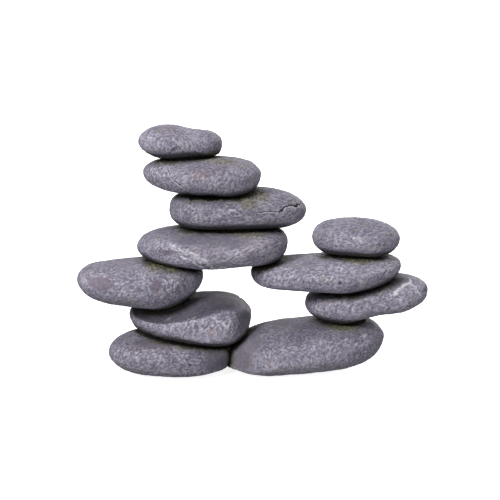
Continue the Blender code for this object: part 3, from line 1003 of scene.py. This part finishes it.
SEAM_REACH = 10 * MM  # how far the dirt and painted shade of a seam reach from where two stones touch
TOUCHING = 0.5 * MM  # stones nearer than this count as touching


def seam_mask(points, others):
    """1 where a point touches another stone, falling to 0 at SEAM_REACH from it."""
    nearest = np.full(len(points), SEAM_REACH)
    for other_low, other_high, tree in others:
        near = np.all((points > other_low - SEAM_REACH) & (points < other_high + SEAM_REACH), axis=1)
        for i in np.nonzero(near)[0]:
            _, _, _, distance = tree.find_nearest(points[i], SEAM_REACH)
            if distance is not None and distance < nearest[i]:
                nearest[i] = distance
    return np.clip(1 - (nearest - TOUCHING) / (SEAM_REACH - TOUCHING), 0, 1)


def search_tree(node):
    """A CAD node's lowest and highest corners, and its triangles in a tree."""
    points, tri = welded(node)
    return points.min(axis=0), points.max(axis=0), BVHTree.FromPolygons(points.tolist(), tri.tolist())


def build_pebbles():
    directions, ball, neighbours = ball_template(GRID)
    lines = dowel_lines()
    trees = {name: search_tree(name) for name in LOOKS}
    for seed, (name, look) in enumerate(LOOKS.items(), 1):
        mesh = ball.copy()
        mesh.name = name + "_skin"
        points = skin_points(name, directions, neighbours, lines)
        points, masks = sculpt(name, look, points, mesh, neighbours, 100 * seed)
        masks["seam"] = seam_mask(points, [tree for other, tree in trees.items() if other != name])
        move_points(mesh, points)
        mesh.shade_smooth()
        for mask, values in masks.items():
            attribute = mesh.attributes.new(mask, "FLOAT", "POINT")
            attribute.data.foreach_set("value", values.astype(np.float32))
        mesh.materials.append(basalt(name + "_basalt", look, seed))
        skin = add_object(name + "_skin", mesh)
        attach(skin, "root")
        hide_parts(name)
    bpy.data.meshes.remove(ball)


BED_VOXEL = 0.4 * MM
BED_SHARE = 0.86  # of its CAD solid's width, so that each seam shows as a dark gap


def remeshed(name, points, tri):
    """A solid made anew from even, small faces."""
    coarse_mesh = bpy.data.meshes.new(name + "_coarse")
    coarse_mesh.from_pydata(points.tolist(), [], tri.tolist())
    coarse = add_object(name + "_coarse", coarse_mesh)
    remesh = coarse.modifiers.new("remesh", "REMESH")
    remesh.mode = "VOXEL"
    remesh.voxel_size = BED_VOXEL
    mesh = bpy.data.meshes.new_from_object(coarse.evaluated_get(bpy.context.evaluated_depsgraph_get()))
    bpy.data.objects.remove(coarse)
    bpy.data.meshes.remove(coarse_mesh)
    mesh.name = name
    return mesh


def build_beds(material):
    """The mortar in each seam, lumpy, and set back a little from the mouth of the seam."""
    for node in [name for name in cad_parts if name.endswith("_bed")]:
        points, tri = welded(node)
        middle = points.mean(axis=0)
        _, _, axes = np.linalg.svd(points - middle, full_matrices=False)
        local = (points - middle) @ axes.T * (BED_SHARE, BED_SHARE, 1)
        mesh = remeshed(node + "_mortar", local @ axes + middle, tri)
        points = fetched(mesh.vertices, "co", 3).astype(float)
        normals = point_normals(mesh)
        rim = 1 - np.abs(normals @ axes[2])
        lumps = 0.9 * noise(points, 3.2 * MM, 71) + 0.35 * noise(points, 1.2 * MM, 72)
        move_points(mesh, points + normals * (rim * lumps * MM)[:, None])
        mesh.shade_smooth()
        mesh.materials.clear()
        mesh.materials.append(material)
        bed = add_object(node + "_mortar", mesh)
        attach(bed, "root")
        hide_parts(node)


def dress_dowels(material):
    """The dowels stay as the CAD has them, in drawn steel."""
    for node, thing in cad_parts.items():
        if node.endswith("_dowel"):
            thing.data.materials.clear()
            thing.data.materials.append(material)


# ---------------------------------------------------------------------------------------------------------
# Studio, in metres
# ---------------------------------------------------------------------------------------------------------

FLOOR_RADIUS = 2.0
SWEEP_RADIUS = 1.0
WALL_TOP = 2.6
FLOOR_TURNS = 96
FLOOR_GLOW = 0.86
SKY = (0.93, 0.96, 1.0)
SKY_STRENGTH = 0.11
CAMERA_DISTANCE = 0.7
CAMERA_ELEVATION = math.radians(12)
CAMERA_AIM = Vector((-2.0 * MM, 0, 73.9 * MM))  # just left of the arch's middle, as in the photograph


def floor_mesh():
    """A round floor that sweeps up into a wall all round."""
    profile = [(0.6, 0.0), (FLOOR_RADIUS, 0.0)]
    for turn in np.linspace(0.1, math.pi / 2, 12):
        out, up = SWEEP_RADIUS * math.sin(turn), SWEEP_RADIUS * (1 - math.cos(turn))
        profile.append((FLOOR_RADIUS + out, up))
    profile.append((FLOOR_RADIUS + SWEEP_RADIUS, WALL_TOP))
    angles = np.linspace(0, 2 * math.pi, FLOOR_TURNS, endpoint=False)
    verts = [(r * math.cos(t), r * math.sin(t), z) for r, z in profile for t in angles]
    faces = [tuple(range(FLOOR_TURNS))]
    for ring in range(len(profile) - 1):
        inner, outer = ring * FLOOR_TURNS, (ring + 1) * FLOOR_TURNS
        for i in range(FLOOR_TURNS):
            j = (i + 1) % FLOOR_TURNS
            faces.append((inner + i, outer + i, outer + j, inner + j))
    mesh = bpy.data.meshes.new("studio_floor")
    mesh.from_pydata(verts, [], faces)
    mesh.shade_smooth()
    return mesh


def build_floor():
    """A pale floor that shows to the camera but neither lights the arch nor keeps light from it, so that
    the light from below stands in for a bright table."""
    n = Nodes("studio_floor")
    n.surface(Base_Color=rgb((0.9, 0.9, 0.9)), Roughness=0.9, Specular_IOR_Level=0.1)
    n.surface(Emission_Color=rgb((1, 1, 1)), Emission_Strength=FLOOR_GLOW)
    mesh = floor_mesh()
    mesh.materials.append(n.material)
    floor = add_object("studio_floor", mesh)
    floor.visible_diffuse = False
    floor.visible_glossy = False
    floor.visible_shadow = False


def build_sky():
    world = bpy.data.worlds.new("studio")
    world.use_nodes = True
    background = world.node_tree.nodes["Background"]
    background.inputs["Color"].default_value = rgb(SKY)
    background.inputs["Strength"].default_value = SKY_STRENGTH
    bpy.context.scene.world = world


def turned_towards(thing, place, aim):
    """Puts a light or the camera at a place, with its front towards aim."""
    thing.location = place
    thing.rotation_mode = "QUATERNION"
    thing.rotation_quaternion = (Vector(aim) - Vector(place)).to_track_quat("-Z", "Y")


def area_light(name, place, aim, size, power):
    data = bpy.data.lights.new(name, "AREA")
    data.shape = "DISK"
    data.size = size
    data.energy = power
    turned_towards(add_object(name, data), place, aim)


def build_lights():
    """Soft light from the upper left, filled from all round."""
    low, high = cad_box
    centre = (low + high) / 2
    area_light("key", (-0.8, -0.95, 0.85), centre, 0.45, 18.6)
    area_light("top", (-0.1, -0.2, 1.3), centre, 0.9, 6.0)
    area_light("fill", (0.7, -1.1, 0.55), centre, 0.8, 2.8)
    area_light("back", (0.5, 1.2, 0.45), centre, 0.8, 13.0)
    area_light("left", (-1.3, 0.5, 0.35), centre, 0.6, 3.0)
    area_light("right", (1.3, 0.3, 0.4), centre, 0.6, 3.5)
    area_light("bounce", (0, -0.7, -0.6), centre, 0.8, 3.0)


def build_camera():
    """A camera in front of the arch, which looks down on it as the photograph does."""
    data = bpy.data.cameras.new("camera")
    data.lens = 84
    data.sensor_width = 36
    data.clip_start = 0.01
    camera = add_object("camera", data)
    back = Vector((0, -math.cos(CAMERA_ELEVATION), math.sin(CAMERA_ELEVATION)))
    turned_towards(camera, CAMERA_AIM + CAMERA_DISTANCE * back, CAMERA_AIM)
    bpy.context.scene.camera = camera


bpy.context.scene.view_settings.view_transform = "Standard"
build_floor()
build_sky()
build_lights()
build_camera()
build_pebbles()
build_beds(mortar())
dress_dowels(steel())
